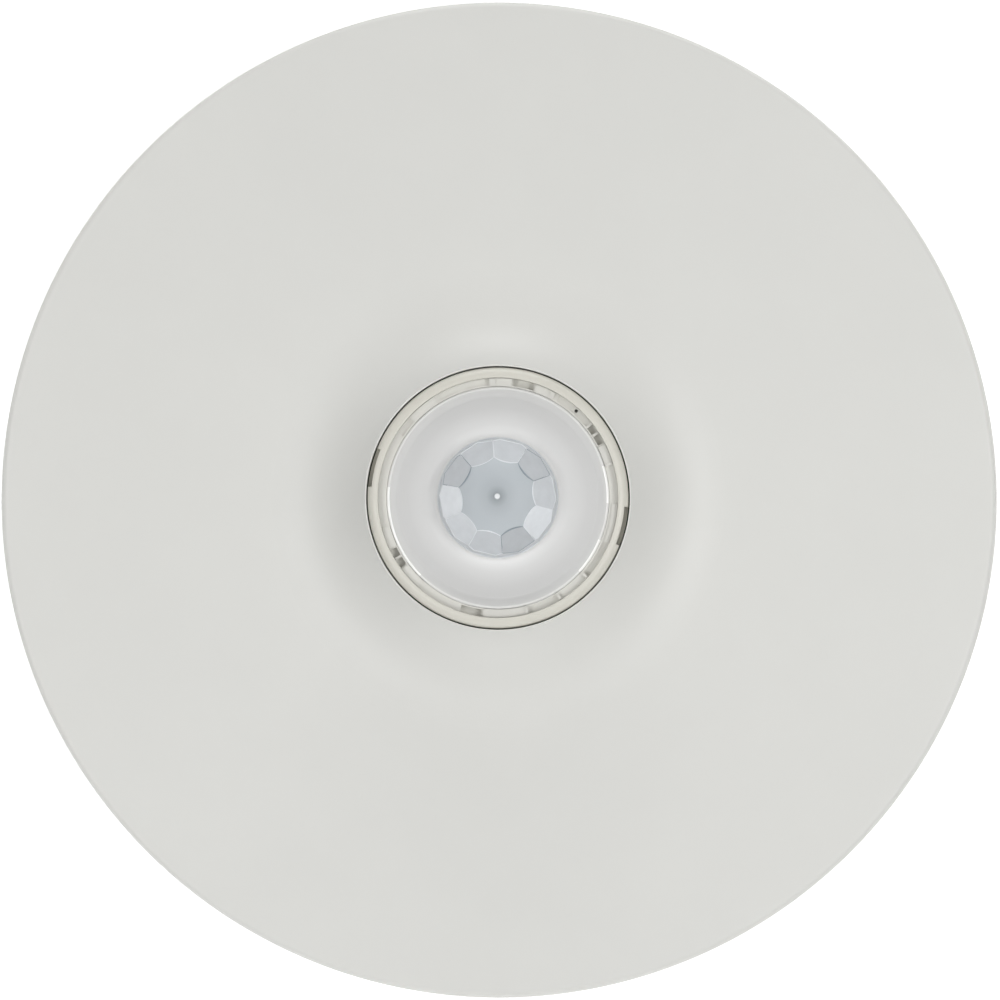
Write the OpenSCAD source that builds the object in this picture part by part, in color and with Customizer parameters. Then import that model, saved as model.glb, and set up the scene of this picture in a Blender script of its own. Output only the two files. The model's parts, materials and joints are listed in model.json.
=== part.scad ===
// Ceiling-mount infrared motion sensor: round cover with a trumpet nose, twist-lock
// bezel ring, faceted dome lens, and the plate, boards and wiring block behind them.
// The origin is the centre of the back face, which lies against the ceiling, and +Z is
// the way that the sensor looks. Millimetres.

/* [Cover] */
// Outer diameter of the round cover
cover_d = 116; // [114:0.5:120]
// Height of the cover's front edge above the ceiling
cover_edge_h = 16.2; // [15.8:0.1:18]
// Wall thickness of the cover
cover_wall = 2; // [1.6:0.1:2.2]
// How much the side wall draws in from back to front
wall_draft = 0.25; // [0.1:0.05:0.4]
// Radius of the rounded front edge
edge_round = 1.2; // [0.8:0.1:1.6]
// Radius of the crown of the cover's face
crown_radius = 780; // [600:10:1200]

/* [Nose] */
// Radius at which the nose rises out of the face
nose_foot_r = 26.4; // [25.5:0.1:27.5]
// Slope of the nose at its foot, in degrees
nose_foot_slope = 5; // [4:0.5:7]
// Slope of the nose at its mouth, in degrees
nose_mouth_slope = 56; // [54:0.5:58]
// Gap between the mouth of the nose and the bezel ring
parting_gap = 0.2; // [0.15:0.05:0.3]

/* [Bezel ring] */
// Outer radius of the bezel ring
bezel_r = 15.05; // [15:0.01:15.1]
// Inner radius of the bezel ring's visible face
bezel_bore_r = 13.9; // [13.88:0.01:13.95]
// Length of each tool notch, in degrees
notch_angle = 17.4; // [14:0.2:19]
// Depth of each tool notch
notch_depth = 0.45; // [0.35:0.05:0.45]

/* [Lens] */
// Radius of the frosted dish
lens_r = 12.75; // [12.7:0.01:12.78]
// Radius of the dome that the facets are cut from
dome_r = 6.95; // [6.9:0.01:7]
// Number of facets in the upper band
upper_facets = 10; // [10:1:12]
// Number of facets in the lower band
lower_facets = 16; // [16:1:18]

/* [Mounting] */
// Spacing of the two box-screw slots
box_slot_spacing = 88.9; // [88:0.1:90]
// Length of each box-screw slot, end to end
box_slot_length = 10.4; // [9:0.1:11]
// Radius of each slot's round ends
box_slot_r = 2.4; // [2.2:0.1:2.5]
// Width of the opening for the wires
wire_opening_w = 34; // [28:1:36]
// Height of the opening for the wires
wire_opening_h = 12; // [10:0.5:12]

/* [Travel] */
// Travel of a terminal's rising clamp
clamp_travel = 1.6; // [1.2:0.1:1.6]
// Travel of a switch lever
lever_travel = 1.5; // [1.2:0.1:1.5]

/* [Hidden] */
$fn = 96;
overcut = 1;

// Cover
cover_r = cover_d / 2;
cover_back_z = 0.5;
edge_centre_r = cover_r - wall_draft - edge_round;
edge_slope = asin(edge_centre_r / crown_radius);
crown_centre_z = cover_edge_h - sqrt(pow(crown_radius, 2) - pow(edge_centre_r, 2));
lip_round = 0.2;
nose_hole_r = bezel_r + parting_gap;
nose_mouth_r = nose_hole_r + lip_round * (1 + sin(nose_mouth_slope));
nose_arc_r = (nose_foot_r - nose_mouth_r) / (sin(nose_mouth_slope) - sin(nose_foot_slope));
nose_centre_r = nose_foot_r + nose_arc_r * sin(nose_foot_slope);
nose_centre_z = crown_z(nose_foot_r, 0) + nose_arc_r * cos(nose_foot_slope);
nose_mouth_z = nose_centre_z - nose_arc_r * cos(nose_mouth_slope);
cover_rib_count = 6;
cover_rib_t = 1.2;
cover_rib_l = 6;
cover_rib_gap = 1;
cover_rib_root = 0.5;
nose_foot_run = 1;
pry_slot_w = 8;
pry_slot_h = 1.2;

// Mounting plate
plate_t = 2.4;
plate_rim_r = cover_r - 2.4;
plate_rim_t = 1.8;
plate_rim_h = 7.5;
cover_bore_r = cover_r - 2;
grip_clearance = 0.05;
grip_count = 6;
grip_angle = 2.4;
grip_top_z = plate_rim_h - 0.5;
wire_opening_y = -41;
wire_opening_round = 3;
floor_rib_r = 25;
floor_rib_t = 1.2;
floor_rib_top = 3.2;

// Main board and the posts that carry it
board_z = 5;
board_t = 1.6;
board_top = board_z + board_t;
board_r = 47;
board_chord_y = -33;
slot_access_x = 38.5;
slot_access_w = 12;
board_posts = [for (x = [-31, 31]) for (y = [-24, 24]) [x, y]];
post_r = 3.2;
head_post_r = 17.5;
head_post_angles = [90, 210, 330];
pilot_r = 1.25;
clearance_r = 1.6;
screw_head_r = 2.6;
screw_head_h = 1.8;
screw_head_step = 0.4;
screw_recess = [2.8, 0.5];
screw_recess_h = 0.9;
screw_bottom_z = 2.6;
pilot_bottom_z = 2;
lead_bottom_z = 3.6;
lead_gap = 0.1;

// Sensing head
barrel_r = 14.44;
barrel_bottom_z = board_top + 1;
barrel_top_z = 21.7;
barrel_bore_r = 12.8;
barrel_lower_bore_r = 11.6;
foot_top_z = board_top + 3;
foot_r = 4;
ledge_z = 15.6;
sensor_board_t = 1.6;
sensor_board_r = 12.65;
sensor_board_top = ledge_z + sensor_board_t;
carrier_flange_top = barrel_top_z + 1;
carrier_bore_r = 11.9;
carrier_wall_r = lens_r + 0.1;
carrier_rim_r = bezel_bore_r - 0.08;
carrier_floor_z = 24.1;
carrier_recess_z = 23.85;
carrier_window_z = 23.2;
carrier_block_z = 24.4;
carrier_rib_z = 24.6;
spigot_r = barrel_bore_r - 0.06;

// Bezel ring and its bayonet
bezel_skirt_z = 18.6;
bezel_face_z = carrier_flange_top + 0.05;
bezel_top_z = 25.05;
bezel_round = bezel_r - bezel_bore_r - 0.1;
bezel_skirt_bore = barrel_r + 0.06;
notch_centres = [166.4, 347.2];
notch_floor_z = 23.1;
bezel_inner_break = 0.08;
bezel_turn = 20;
lug_angles = [30, 150, 270];
lug_half = 6;
lug_r = bezel_bore_r + 0.05;
lug_z = 19.3;
lug_h = 1;
lug_root = 0.2;
track_r = lug_r - 0.08;
track_gap = 0.3;
entry_inset = 0.05;
track_end = 1.5;

// Lens
dome_z = 24.7;
dome_hollow_r = 6.2;
lens_edge_z = 24.1;
lens_edge_round = 0.25;
dish_low_r = 11.6;
dish_low_z = 24.1;
dish_high_z = 24.6;
dish_t = 0.8;
fillet_r = 0.5;
fillet_centre_r = 7.42;
fillet_end = 200;
dome_cut_z = -0.3;
upper_facet_tilt = 47;
upper_facet_reach = dome_r * cos(13.5);
lower_facet_tilt = 76;
lower_facet_reach = 6.76 * sin(lower_facet_tilt);
upper_facet_start = 5;
lower_facet_start = 9.25;
gate_r = 0.35;
gate_dimple_r = 1;
gate_dimple_z = dome_r - 0.13;
gate_top_z = dome_r + 0.17;

// Infrared detector
spacer_top = sensor_board_top + 1.2;
pyro_flange_r = 4.57;
pyro_base_top = spacer_top + 0.5;
pyro_boss_top = spacer_top + 0.9;
pyro_boss_r = 3.8;
pyro_can_r = 4.1;
pyro_can_t = 0.25;
pyro_can_top = 22.9;
pyro_pane = [4.6, 3.8];
pyro_pane_t = 0.3;
pyro_aperture = [3.8, 3];
pyro_lead_r = 0.22;
pyro_lead_circle = 2.54;
pyro_lead_angles = [45, 135, 270];
pyro_lead_tail = 1;
pyro_rim_t = 0.3;
pyro_mount = [4.4, 3.2, 1.2];
pyro_crystal = [3, 2, 0.2];

// Plug between the boards
pin_pitch = 2.54;
header_y = -7.5;
header_top = board_top + 2.5;
header_size = [10.4, 2.5];
header_pin_w = 0.64;
header_pin_top = 14.6;
socket_tail_w = 0.6;
socket_tail_top = sensor_board_top + 0.7;

// Terminal block, four ways
pole_pitch = 5.08;
block_y = -27.5;
block_size = [20.8, 8];
block_top = board_top + 8.2;
cage_y = block_y - 0.1;
cavity_size = [3.9, 4.8];
cavity_z = 7.1;
cage_size = [3.4, 4.2];
cage_z = 7.3;
cage_h = 3.7;
cavity_top = cage_z + cage_h + clamp_travel + 0.1;
cage_window_z = 0.5;
cage_window_h = 2.5;
cage_window_w = 2.4;
contact_z = 9.7;
contact_t = 0.5;
contact_w = 1.9;
contact_leg_y = cage_y + 2.8;
contact_l = 5.1;
contact_shift = 0.55;
contact_leg_size = [1, 0.6];
wire_hole = [2.6, 2.4];
wire_hole_z = 7.4;
wire_hole_depth = 4;
terminal_head_r = 1.8;
terminal_head_hole_r = 1.95;
terminal_head_top = 14.2;
terminal_shank_r = 1.2;
terminal_thread_gap = 0.05;
driver_slot_w = 0.6;
driver_slot_h = 0.7;

// Small switch, four ways
dip_at = [-29, 2];
dip_size = [6.4, 11.7];
dip_top = board_top + 4;
dip_row = 3.81;
lever_size = [1.7, 1.3];
lever_end_gap = 0.3;
lever_side_gap = 0.15;
lever_rest = lever_travel / 2;
lever_floor_z = dip_top - 1.6;
lever_bottom_z = lever_floor_z + 0.1;
dip_pin_w = 0.5;
dip_pin_t = 0.3;
dip_pin_bend_z = board_top + 1.5;
lever_top_z = dip_top + 0.5;

// Adjusters
trimmer_w = 6.6;
trimmer_top = board_top + 3.4;
time_at = [29, 9];
light_at = [29, -6];
dial_r = 2.6;
dial_pocket_r = 2.8;
dial_pocket_z = trimmer_top - 2;
dial_z = dial_pocket_z + 0.3;
dial_top = trimmer_top + 0.9;
spindle_r = 0.9;
spindle_gap = 0.05;
spindle_well_z = board_top + 0.4;
spindle_z = board_top + 0.6;
dial_slot = [0.7, 3.2];
dial_slot_shift = 0.6;
trimmer_lead_w = 0.6;
trimmer_leads = [[-2.5, -2.5], [2.5, -2.5], [0, 2.5]];

// Test button
button_at = [-28, -14];
button_w = 6;
button_body_top = board_top + 3;
button_frame_t = 0.3;
button_r = 1.7;
button_hole_r = 1.8;
button_well_r = 2;
button_lead = [0.4, 0.7];
button_lead_top = board_top + 0.8;
button_z = button_body_top - 1.2;
button_top = button_body_top + 2;
button_well_z = button_z - 0.9;
button_leads = [for (x = [-3.25, 3.25]) for (y = [-2.25, 2.25]) [x, y]];

// Board parts
micro_at = [0, 31];
micro_w = 7;
micro_t = 1;
micro_bottom_z = board_top + 0.15;
micro_dot_inset = 1;
micro_dot_r = 0.4;
micro_dot_depth = 0.15;
micro_leg_w = 0.35;
micro_leg_reach = 0.9;
micro_foot_t = 0.2;
micro_knee = 0.3;
micro_knee_top = board_top + 0.7;
micro_leg_count = 8;
micro_leg_pitch = 0.8;
regulator_at = [18, 31];
regulator_size = [6.6, 6, 2];
regulator_shift = -0.5;
regulator_tab_size = [5.4, 6.8, 0.5];
regulator_tab_shift = 0.6;
regulator_leg = [0.8, 2.4];
regulator_leg_at = [2.3, -4.3];
transistor_at = [17, -25];
transistor_size = [6.5, 3.5, 1.6];
cans = [[-17, 29, 4, 6.8], [-9, 40, 3.15, 5.8]];
can_base_t = 1;
can_base_margin = 0.15;
can_base_corner = 2;
resistor_size = [2, 1.25, 0.55];
capacitor_size = [2, 1.25, 0.9];
resistor_places = concat([for (x = [-10:4:10]) [x, 23.4]], [for (y = [-16:4:4]) [22.6, y]]);
capacitor_places = concat([for (y = [-10:4:14]) [-22, y]], [for (x = [-4:4:8]) [x, 38.5]]);
diode_places = [[-16, -21.5], [-16, -26], [-16, -30.5]];
diode_size = [4.3, 2.6, 2.1];
led_at = [8.6, 0];
led_r = 1.5;
photocell_at = [-8.6, 0];
photocell_r = 2.1;
photocell_h = 2;
led_flange_t = 0.8;
led_flange_w = 0.3;
led_body_h = 2.8;
led_dome_r = 1.48;
led_dome_drop = 0.1;
amplifier_at = [0, 7.4];
amplifier_size = [5, 5, 0.9];

// Height of the face's crown at radius r, at a depth inside the surface
function crown_z(r, depth) = crown_centre_z + sqrt(pow(crown_radius - depth, 2) - pow(r, 2));

// Points of an arc about a centre, from one angle to another
function arc(centre, r, from, to, steps) = [
    for (i = [0:steps])
        let (a = from + (to - from) * i / steps)
        centre + r * [cos(a), sin(a)]
];

// Points of the face's crown, from one radius to another
function crown(from, to, depth, steps) = [
    for (i = [0:steps])
        let (r = from + (to - from) * i / steps)
        [r, crown_z(r, depth)]
];

// A straight bar with its centre at x, y
module bar(x, y, size, from_z, to_z) {
    translate([x - size[0] / 2, y - size[1] / 2, from_z]) cube([size[0], size[1], to_z - from_z]);
}

// A round bar
module rod(x, y, r, from_z, to_z) {
    translate([x, y, from_z]) cylinder(r = r, h = to_z - from_z);
}

// A flat ring
module ring(inner_r, outer_r, from_z, to_z) {
    difference() {
        rod(0, 0, outer_r, from_z, to_z);
        rod(0, 0, inner_r, from_z - overcut, to_z + overcut);
    }
}

// Part of a ring, from one angle to another
module ring_part(inner_r, outer_r, from_z, to_z, from_angle, to_angle) {
    rotate([0, 0, from_angle])
        rotate_extrude(angle = to_angle - from_angle)
            translate([inner_r, from_z]) square([outer_r - inner_r, to_z - from_z]);
}

// A slot along X, measured end to end
module slot(x, y, length, r, from_z, to_z) {
    reach = length / 2 - r;
    rod(x - reach, y, r, from_z, to_z);
    rod(x + reach, y, r, from_z, to_z);
    bar(x, y, [2 * reach, 2 * r], from_z, to_z);
}

// A bar with rounded upright edges
module rounded_bar(x, y, size, r, from_z, to_z) {
    bar(x, y, [size[0] - 2 * r, size[1]], from_z, to_z);
    bar(x, y, [size[0], size[1] - 2 * r], from_z, to_z);
    for (i = [-1, 1]) for (j = [-1, 1])
        rod(x + i * (size[0] / 2 - r), y + j * (size[1] / 2 - r), r, from_z, to_z);
}

// Each head post in turn
module at_head_posts() {
    for (a = head_post_angles) rotate([0, 0, a]) translate([head_post_r, 0, 0]) children();
}

// Each main-board post in turn
module at_board_posts() {
    for (p = board_posts) translate([p[0], p[1], 0]) children();
}

// A pan-head screw with a cross recess, its head's underside at seat_z
module pan_screw(seat_z) {
    head_top = seat_z + screw_head_h;
    difference() {
        union() {
            rod(0, 0, screw_head_r - screw_head_step, seat_z, head_top);
            rod(0, 0, screw_head_r, seat_z, head_top - screw_head_step);
            rod(0, 0, pilot_r, screw_bottom_z, seat_z);
        }
        for (a = [0, 90]) rotate([0, 0, a])
            bar(0, 0, screw_recess, head_top - screw_recess_h, head_top + overcut);
    }
}

module mounting_plate() {
    color("whitesmoke") difference() {
        union() {
            rod(0, 0, plate_rim_r, 0, plate_t);
            ring(plate_rim_r - plate_rim_t, plate_rim_r, plate_t, plate_rim_h);
            ring(floor_rib_r - floor_rib_t, floor_rib_r, plate_t, floor_rib_top);
            for (i = [0:grip_count - 1])
                rotate([0, 0, i * 360 / grip_count])
                    ring_part(plate_rim_r - plate_rim_t / 2, cover_bore_r - grip_clearance,
                        plate_t / 2, grip_top_z, -grip_angle / 2, grip_angle / 2);
            at_board_posts() rod(0, 0, post_r, plate_t, board_z);
            at_head_posts() rod(0, 0, post_r, plate_t, board_z);
        }
        for (side = [-1, 1])
            slot(side * box_slot_spacing / 2, 0, box_slot_length, box_slot_r, -overcut, plate_t + overcut);
        rounded_bar(0, wire_opening_y, [wire_opening_w, wire_opening_h], wire_opening_round,
            -overcut, plate_t + overcut);
        at_board_posts() rod(0, 0, pilot_r, pilot_bottom_z, board_z + overcut);
        at_head_posts() rod(0, 0, pilot_r, pilot_bottom_z, board_z + overcut);
    }
}

// Outline of the cover's section, with radius along X and height along Y
module cover_section() {
    edge_centre = [edge_centre_r, crown_z(edge_centre_r + edge_round * sin(edge_slope), 0)
        - edge_round * cos(edge_slope)];
    nose_centre = [nose_centre_r, nose_centre_z];
    lip_centre = [nose_hole_r + lip_round, nose_mouth_z - lip_round * cos(nose_mouth_slope)];
    inner_arc_r = nose_arc_r + cover_wall;
    inner_end = asin((nose_centre_r - nose_hole_r) / inner_arc_r);
    outside = concat(
        [[cover_bore_r, cover_back_z], [cover_r, cover_back_z]],
        arc(edge_centre, edge_round, 0, 90 - edge_slope, 8),
        crown(edge_centre_r, nose_foot_r + nose_foot_run, 0, 12),
        arc(nose_centre, nose_arc_r, 270 - nose_foot_slope, 270 - nose_mouth_slope, 18),
        arc(lip_centre, lip_round, 90 - nose_mouth_slope, 180, 6)
    );
    inside = concat(
        arc(nose_centre, inner_arc_r, 270 - inner_end, 270 - nose_foot_slope, 12),
        crown(nose_foot_r + nose_foot_run, cover_bore_r, cover_wall, 8)
    );
    polygon(concat(outside, inside));
}

module front_cover() {
    rib_bottom_z = plate_rim_h + cover_rib_gap;
    color("ivory") difference() {
        union() {
            rotate_extrude() cover_section();
            for (i = [0:cover_rib_count - 1])
                rotate([0, 0, (i + 0.5) * 360 / cover_rib_count])
                    translate([cover_bore_r - cover_rib_l, -cover_rib_t / 2, rib_bottom_z])
                        cube([cover_rib_l + cover_wall / 2, cover_rib_t,
                            crown_z(cover_bore_r, cover_wall) + cover_rib_root - rib_bottom_z]);
        }
        rotate([0, 0, 270])
            translate([cover_bore_r - overcut, -pry_slot_w / 2, 0])
                cube([cover_wall + 2 * overcut, pry_slot_w, cover_back_z + pry_slot_h]);
    }
}

module bezel_ring() {
    round_centre = [bezel_r - bezel_round, bezel_top_z - bezel_round];
    color("antiquewhite") difference() {
        union() {
            rotate_extrude() polygon(concat(
                [[bezel_skirt_bore, bezel_skirt_z], [bezel_r, bezel_skirt_z]],
                arc(round_centre, bezel_round, 0, 90, 12),
                [[bezel_bore_r, bezel_top_z - bezel_inner_break], [bezel_bore_r, bezel_face_z],
                    [bezel_skirt_bore, bezel_face_z]]
            ));
            for (a = lug_angles)
                ring_part(lug_r, bezel_skirt_bore + lug_root, lug_z, lug_z + lug_h,
                    a - lug_half, a + lug_half);
        }
        for (a = notch_centres)
            ring_part(bezel_r - notch_depth, bezel_r + overcut, notch_floor_z, bezel_top_z + overcut,
                a - notch_angle / 2, a + notch_angle / 2);
    }
}

// Raised blocks, recesses, ribs, pips and windows of the carrier's visible ring, by angle
carrier_blocks = [
    [17, 26.6], [63, 71.2], [83.2, 91.5], [122.3, 137.7], [194.6, 205], [216.6, 228], [262.6, 284]
];
carrier_recesses = [[39, 59], [95, 120.4], [138.5, 147], [286, 300.4], [319.5, 337]];
carrier_windows = [[27.5, 37.8], [72, 82.5], [205.9, 215.8], [251.3, 261.7]];
carrier_window_ribs = [[32.5, 33.8], [210.2, 211.4]];
carrier_tall_ribs = [
    [16.1, 17.4], [61.2, 63.4], [91.2, 94.2], [283.6, 285], [301, 302.3], [317.6, 318.8]
];
carrier_lip = [337.7, 357];
block_inset = 0.03;
block_root = 0.25;
carrier_lip_inset = 0.35;
recess_wall = 0.2;
window_wall = 0.15;
window_rib_wall = 0.1;
window_rib_drop = 0.1;
window_rib_lift = 0.2;
vent_angle = 48;
vent_r = 0.2;
vent_inset = 0.35;
vent_floor = 0.3;

module lens_carrier() {
    sunk_z = carrier_floor_z - block_root;
    color("linen") difference() {
        union() {
            rotate_extrude() polygon([
                [carrier_bore_r, sensor_board_top], [spigot_r, sensor_board_top],
                [spigot_r, barrel_top_z], [barrel_r, barrel_top_z],
                [barrel_r, carrier_flange_top], [carrier_rim_r, carrier_flange_top],
                [carrier_rim_r, carrier_floor_z], [carrier_wall_r, carrier_floor_z],
                [carrier_wall_r, carrier_flange_top], [carrier_bore_r, carrier_flange_top]
            ]);
            for (b = carrier_blocks)
                ring_part(carrier_wall_r + block_inset, carrier_rim_r - block_inset,
                    sunk_z, carrier_block_z, b[0], b[1]);
            for (b = carrier_tall_ribs)
                ring_part(carrier_wall_r + 2 * block_inset, carrier_rim_r - 2 * block_inset,
                    sunk_z, carrier_rib_z, b[0], b[1]);
            ring_part(carrier_wall_r + carrier_lip_inset, carrier_rim_r - block_inset,
                sunk_z, carrier_block_z, carrier_lip[0], carrier_lip[1]);
        }
        for (b = carrier_recesses)
            ring_part(carrier_wall_r + recess_wall, carrier_rim_r + overcut / 2,
                carrier_recess_z, carrier_rib_z + overcut, b[0], b[1]);
        for (b = carrier_windows)
            ring_part(carrier_wall_r + window_wall, carrier_rim_r + block_inset,
                carrier_window_z, carrier_rib_z + overcut, b[0], b[1]);
        for (a = lug_angles)
            ring_part(track_r, barrel_r + overcut,
                barrel_top_z - overcut / 2, carrier_flange_top + overcut / 2,
                a + bezel_turn - lug_half - track_end, a + bezel_turn + lug_half + track_end);
        rotate([0, 0, vent_angle])
            rod(carrier_rim_r - vent_inset, 0, vent_r, barrel_top_z + vent_floor, carrier_rib_z);
    }
    color("linen") for (b = carrier_window_ribs)
        ring_part(carrier_wall_r + window_rib_wall, carrier_rim_r - block_inset,
            barrel_top_z + window_rib_lift, carrier_floor_z - window_rib_drop, b[0], b[1]);
}

// Flat cuts round a dome, all at one tilt and one distance from its centre
module facet_cuts(count, start, tilt, reach) {
    size = 4 * dome_r;
    for (i = [0:count - 1])
        rotate([0, tilt, start + i * 360 / count])
            translate([-size / 2, -size / 2, reach]) cube(size);
}

module lens() {
    dish_high_r = fillet_centre_r;
    fillet_centre = [fillet_centre_r, dish_high_z + fillet_r];
    color("lightgrey") difference() {
        union() {
            rotate_extrude() polygon(concat(
                [[dome_hollow_r / 2, dish_low_z - dish_t], [dish_low_r, dish_low_z - dish_t]],
                [[carrier_bore_r + 0.1, carrier_flange_top], [lens_r, carrier_flange_top]],
                arc([lens_r - lens_edge_round, lens_edge_z], lens_edge_round, 0, 120, 8),
                [[dish_low_r, dish_low_z], [dish_high_r, dish_high_z]],
                arc(fillet_centre, fillet_r, 262, fillet_end, 6),
                [[dome_hollow_r / 2, dish_high_z + fillet_r * (1 + sin(fillet_end))]]
            ));
            translate([0, 0, dome_z]) difference() {
                sphere(r = dome_r);
                rod(0, 0, 2 * dome_r, -2 * dome_r, dome_cut_z);
                facet_cuts(upper_facets, upper_facet_start, upper_facet_tilt, upper_facet_reach);
                facet_cuts(lower_facets, lower_facet_start, lower_facet_tilt, lower_facet_reach);
                ring(gate_r, gate_dimple_r, gate_dimple_z, 2 * dome_r);
            }
            rod(0, 0, gate_r, dome_z + gate_dimple_z - 0.2, dome_z + gate_top_z);
        }
        translate([0, 0, dome_z]) sphere(r = dome_hollow_r);
    }
}

module sensor_barrel() {
    color("gainsboro") difference() {
        union() {
            rod(0, 0, barrel_r, barrel_bottom_z, barrel_top_z);
            for (a = head_post_angles) rotate([0, 0, a]) {
                rod(head_post_r, 0, foot_r, board_top, foot_top_z);
                bar(head_post_r - foot_r / 2, 0, [foot_r, 2 * foot_r], board_top, foot_top_z);
            }
        }
        rod(0, 0, barrel_lower_bore_r, 0, barrel_top_z);
        rod(0, 0, barrel_bore_r, ledge_z, barrel_top_z + overcut);
        at_head_posts() rod(0, 0, clearance_r, 0, foot_top_z + overcut);
        for (a = lug_angles) {
            ring_part(track_r, barrel_r + overcut, lug_z - track_gap, lug_z + lug_h + track_gap,
                a - lug_half - track_end, a + bezel_turn + lug_half + track_end);
            ring_part(track_r - entry_inset, barrel_r + 2 * overcut, lug_z, barrel_top_z + overcut,
                a + bezel_turn - lug_half - track_end, a + bezel_turn + lug_half + track_end / 2);
        }
    }
}

module head_screws() {
    color("silver") at_head_posts() pan_screw(foot_top_z);
}

module board_screws() {
    color("silver") at_board_posts() pan_screw(board_top);
}

// Every lead that goes through the main board, made wider by grow
module main_board_leads(grow) {
    header_leads(grow);
    contact_legs(grow);
    dip_legs(grow);
    adjuster_leads(grow);
    button_legs(grow);
}

module main_board() {
    color("seagreen") difference() {
        rod(0, 0, board_r, board_z, board_top);
        bar(0, board_chord_y - board_r, [2 * board_r, 2 * board_r], 0, board_top + overcut);
        for (side = [-1, 1])
            bar(side * (slot_access_x + board_r), 0, [2 * board_r, slot_access_w], 0, board_top + overcut);
        at_board_posts() rod(0, 0, clearance_r, 0, board_top + overcut);
        at_head_posts() rod(0, 0, clearance_r, 0, board_top + overcut);
        main_board_leads(lead_gap);
    }
}

// Each pole of the terminal block in turn
function pole_x(i) = (i - 2.5) * pole_pitch;

module terminal_block() {
    color("darkseagreen") difference() {
        bar(0, block_y, block_size, board_top, block_top);
        for (i = [1:4]) {
            bar(pole_x(i), cage_y, cavity_size, cavity_z, cavity_top);
            rod(pole_x(i), cage_y, terminal_head_hole_r, cavity_top - overcut, block_top + overcut);
            bar(pole_x(i), block_y - block_size[1] / 2, [wire_hole[0], wire_hole_depth],
                wire_hole_z, wire_hole_z + wire_hole[1]);
            bar(pole_x(i), cage_y + contact_shift, [contact_w + 2 * lead_gap, contact_l + 2 * lead_gap],
                contact_z - lead_gap, contact_z + contact_t + lead_gap);
            contact_leg(i, lead_gap, contact_z + contact_t);
        }
    }
}

// The upright leg of one terminal contact
module contact_leg(i, grow, top_z) {
    bar(pole_x(i), contact_leg_y, contact_leg_size + [grow, grow], lead_bottom_z, top_z);
}

module contact_legs(grow) {
    for (i = [1:4]) contact_leg(i, grow, board_top + overcut);
}

module terminal_contacts() {
    color("goldenrod") for (i = [1:4]) {
        bar(pole_x(i), cage_y + contact_shift, [contact_w, contact_l], contact_z, contact_z + contact_t);
        contact_leg(i, 0, contact_z + contact_t);
    }
}

module terminal_screw(i) {
    color("silver") difference() {
        union() {
            rod(pole_x(i), cage_y, terminal_head_r, cavity_top, terminal_head_top);
            rod(pole_x(i), cage_y, terminal_shank_r,
                contact_z + contact_t + terminal_thread_gap, cavity_top);
        }
        bar(pole_x(i), cage_y, [2 * terminal_head_r + 1, driver_slot_w],
            terminal_head_top - driver_slot_h, terminal_head_top + overcut);
    }
}

module terminal_clamp(i) {
    color("gold") difference() {
        bar(pole_x(i), cage_y, cage_size, cage_z, cage_z + cage_h);
        bar(pole_x(i), cage_y, [cage_window_w, cage_size[1] + overcut],
            cage_z + cage_window_z, cage_z + cage_window_z + cage_window_h);
        rod(pole_x(i), cage_y, terminal_shank_r + terminal_thread_gap,
            cage_z + cage_window_h / 2, cage_z + cage_h + overcut);
    }
}

// Place of one switch lever along the switch
function lever_y(i) = dip_at[1] + (i - 2.5) * pin_pitch;

module dip_switch() {
    slot_size = [lever_size[0] + lever_travel + 2 * lever_end_gap, lever_size[1] + 2 * lever_side_gap];
    color("steelblue") difference() {
        bar(dip_at[0], dip_at[1], dip_size, board_top, dip_top);
        for (i = [1:4]) bar(dip_at[0], lever_y(i), slot_size, lever_floor_z, dip_top + overcut);
    }
}

module dip_legs(grow) {
    for (i = [1:4]) for (side = [-1, 1])
        bar(dip_at[0] + side * dip_row, lever_y(i), [dip_pin_t + grow, dip_pin_w + grow],
            lead_bottom_z, dip_pin_bend_z);
}

module dip_switch_pins() {
    color("silver") {
        dip_legs(0);
        for (i = [1:4]) for (side = [-1, 1])
            bar(dip_at[0] + side * (dip_row + dip_size[0] / 2 + dip_pin_t / 2) / 2, lever_y(i),
                [dip_row + dip_pin_t / 2 - dip_size[0] / 2, dip_pin_w],
                dip_pin_bend_z - dip_pin_t, dip_pin_bend_z);
    }
}

module dip_lever(i) {
    color("white") bar(dip_at[0] - lever_rest, lever_y(i), lever_size, lever_bottom_z, lever_top_z);
}

module trimmer(at) {
    color("royalblue") difference() {
        bar(at[0], at[1], [trimmer_w, trimmer_w], board_top, trimmer_top);
        rod(at[0], at[1], dial_pocket_r, dial_pocket_z, trimmer_top + overcut);
        rod(at[0], at[1], spindle_r + spindle_gap, spindle_well_z, trimmer_top);
    }
}

module dial(at) {
    slot_floor_z = dial_top - driver_slot_h;
    color("orange") difference() {
        union() {
            rod(at[0], at[1], dial_r, dial_z, dial_top);
            rod(at[0], at[1], spindle_r, spindle_z, dial_z);
        }
        bar(at[0], at[1] + dial_slot_shift, dial_slot, slot_floor_z, dial_top + overcut);
        bar(at[0], at[1], [dial_slot[1], dial_slot[0]], slot_floor_z, dial_top + overcut);
    }
}

module adjuster_leads(grow) {
    for (at = [time_at, light_at]) for (p = trimmer_leads)
        bar(at[0] + p[0], at[1] + p[1], [trimmer_lead_w + grow, trimmer_lead_w + grow],
            lead_bottom_z, board_top);
}

module trimmer_pins() {
    color("silver") adjuster_leads(0);
}

module test_button_base() {
    color("dimgray") difference() {
        bar(button_at[0], button_at[1], [button_w, button_w], board_top, button_body_top);
        rod(button_at[0], button_at[1], button_well_r, button_well_z, button_body_top + overcut);
    }
}

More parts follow.
